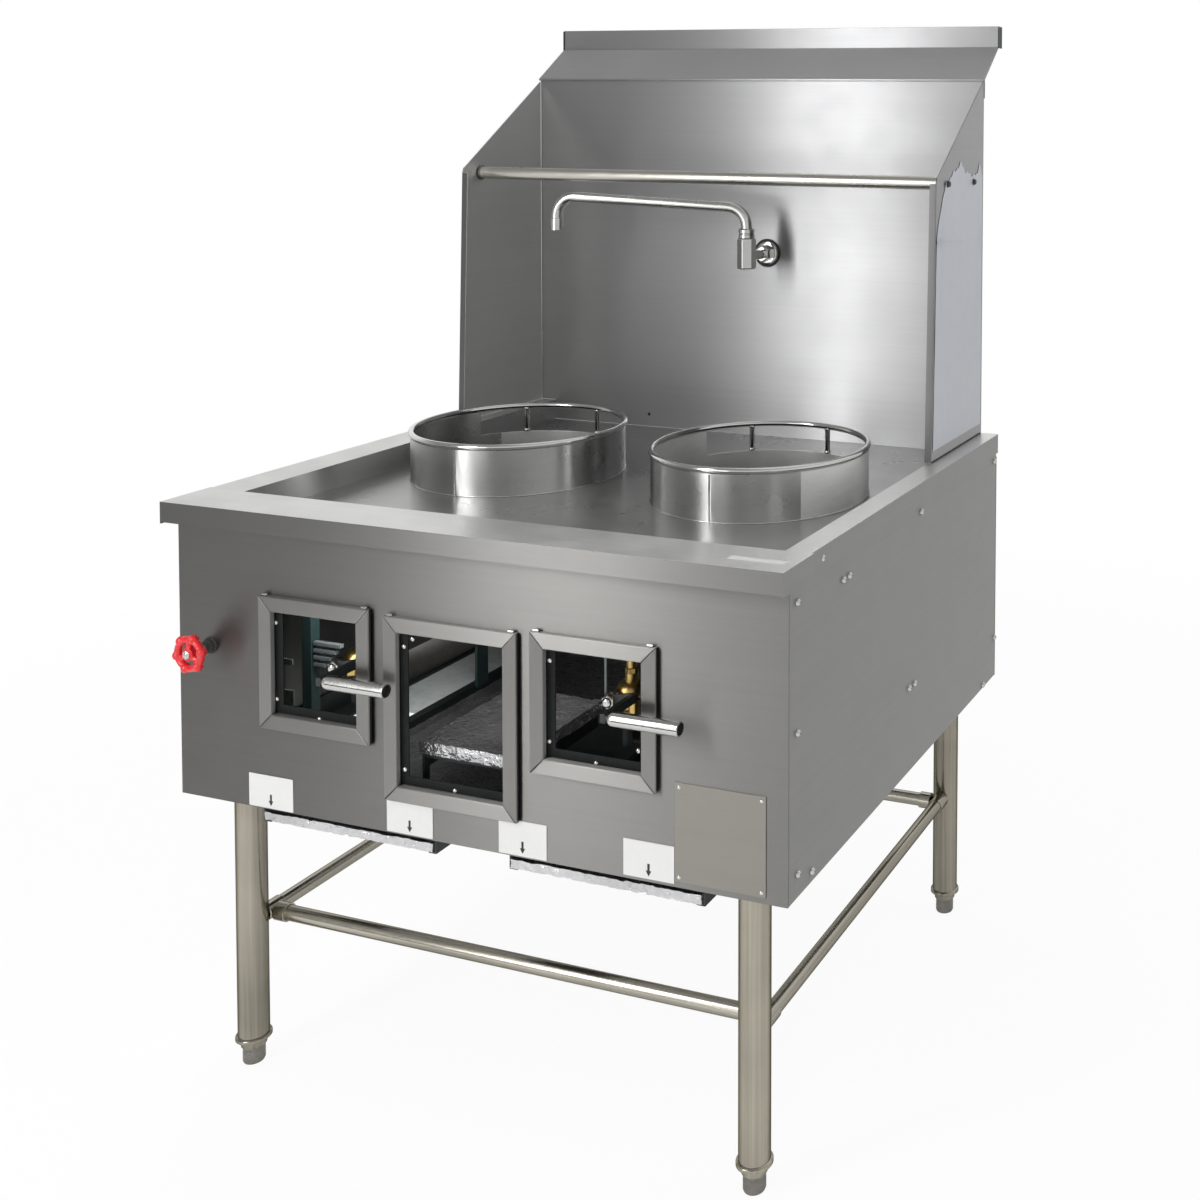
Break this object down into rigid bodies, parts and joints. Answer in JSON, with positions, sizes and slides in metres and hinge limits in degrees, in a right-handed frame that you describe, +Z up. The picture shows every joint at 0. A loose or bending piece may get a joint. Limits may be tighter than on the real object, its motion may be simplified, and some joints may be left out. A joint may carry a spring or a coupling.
{
  "type": "wok range",
  "caption": "Free-standing stainless wok range: recessed deck with pot rings, splash-back with side wings, rail and swing spout, lever gas valves, drip trays, pipe legs.",
  "frame": {"origin": "middle of the footprint, on the floor under the feet", "axes": "+Z up, +Y towards the splash-back, +X to the right as seen from the front"},
  "size_m": [0.9706, 0.931, 1.552],
  "materials": {
    "stainless": "brushed",
    "pipe": "satin",
    "polished": "polished",
    "black_paint": "satin",
    "iron": "rough",
    "brass": "machined",
    "red": "gloss",
    "foil": "crinkled foil"
  },
  "bodies": {
    "cabinet": {"front_panel": "stainless", "side_panel_left": "stainless", "side_panel_right": "stainless", "rear_panel": "stainless", "deck_pan": "stainless", "window_trim_left": "stainless", "window_trim_middle": "stainless", "window_trim_right": "stainless", "ring_band_left": "stainless", "ring_band_right": "stainless", "back_panel": "stainless", "wing_left": "stainless", "wing_right": "stainless", "backguard_top": "stainless", "rating_plate": "stainless", "window_liner_left": "black_paint", "window_liner_middle": "black_paint", "window_liner_right": "black_paint", "tray_runner_left_a": "black_paint", "tray_runner_left_b": "black_paint", "tray_runner_right_a": "black_paint", "tray_runner_right_b": "black_paint", "base_beam_left": "black_paint", "base_beam_right": "black_paint", "base_beam_rear": "black_paint", "base_beam_front": "black_paint", "corner_post_left": "black_paint", "corner_post_right": "black_paint", "ring_rod_left": "polished", "ring_rod_right": "polished", "water_pipe": "polished", "faucet_body": "polished", "chamber_left": "iron", "chamber_right": "iron", "burner_left": "iron", "burner_right": "iron", "gas_manifold": "iron", "gas_valve_left": "brass", "gas_valve_right": "brass", "water_valve": "brass", "foil_board": "foil", "pipe_rail": "pipe", "leg_front_left": "pipe", "leg_front_right": "pipe", "leg_rear_left": "pipe", "leg_rear_right": "pipe", "cross_rail_left": "pipe", "cross_rail_right": "pipe", "cross_rail_front": "pipe", "cross_rail_rear": "pipe"},
    "tray_left": {"drip_tray_left": "foil"},
    "tray_right": {"drip_tray_right": "foil"},
    "lever_left": {"gas_lever_left": "polished"},
    "lever_right": {"gas_lever_right": "polished"},
    "wheel": {"hand_wheel": "red"},
    "spout": {"faucet_spout": "polished"},
    "foot_fl": {"foot_front_left": "iron"},
    "foot_fr": {"foot_front_right": "iron"},
    "foot_rl": {"foot_rear_left": "iron"},
    "foot_rr": {"foot_rear_right": "iron"}
  },
  "joints": [
    {"name": "tray_left_slide", "type": "slide", "parent": "cabinet", "child": "tray_left", "axis": [0, -1, 0], "range_m": [0, 0.55]},
    {"name": "tray_right_slide", "type": "slide", "parent": "cabinet", "child": "tray_right", "axis": [0, -1, 0], "range_m": [0, 0.55]},
    {"name": "lever_left_turn", "type": "hinge", "parent": "cabinet", "child": "lever_left", "pos_m": [-0.238, -0.3915, 0.611], "axis": [0, 1, 0], "range_deg": [0, 90]},
    {"name": "lever_right_turn", "type": "hinge", "parent": "cabinet", "child": "lever_right", "pos_m": [0.2045, -0.3915, 0.621], "axis": [0, 1, 0], "range_deg": [0, 90]},
    {"name": "wheel_turn", "type": "hinge", "parent": "cabinet", "child": "wheel", "pos_m": [-0.424, -0.4565, 0.631], "axis": [0, 1, 0], "range_deg": [0, 900]},
    {"name": "spout_swing", "type": "hinge", "parent": "cabinet", "child": "spout", "pos_m": [0.035, 0.2905, 1.18], "axis": [0, 0, 1], "range_deg": [-18, 170]},
    {"name": "foot_fl_screw", "type": "slide", "parent": "cabinet", "child": "foot_fl", "axis": [0, 0, -1], "range_m": [0, 0.025]},
    {"name": "foot_fr_screw", "type": "slide", "parent": "cabinet", "child": "foot_fr", "axis": [0, 0, -1], "range_m": [0, 0.025]},
    {"name": "foot_rl_screw", "type": "slide", "parent": "cabinet", "child": "foot_rl", "axis": [0, 0, -1], "range_m": [0, 0.025]},
    {"name": "foot_rr_screw", "type": "slide", "parent": "cabinet", "child": "foot_rr", "axis": [0, 0, -1], "range_m": [0, 0.025]}
  ]
}
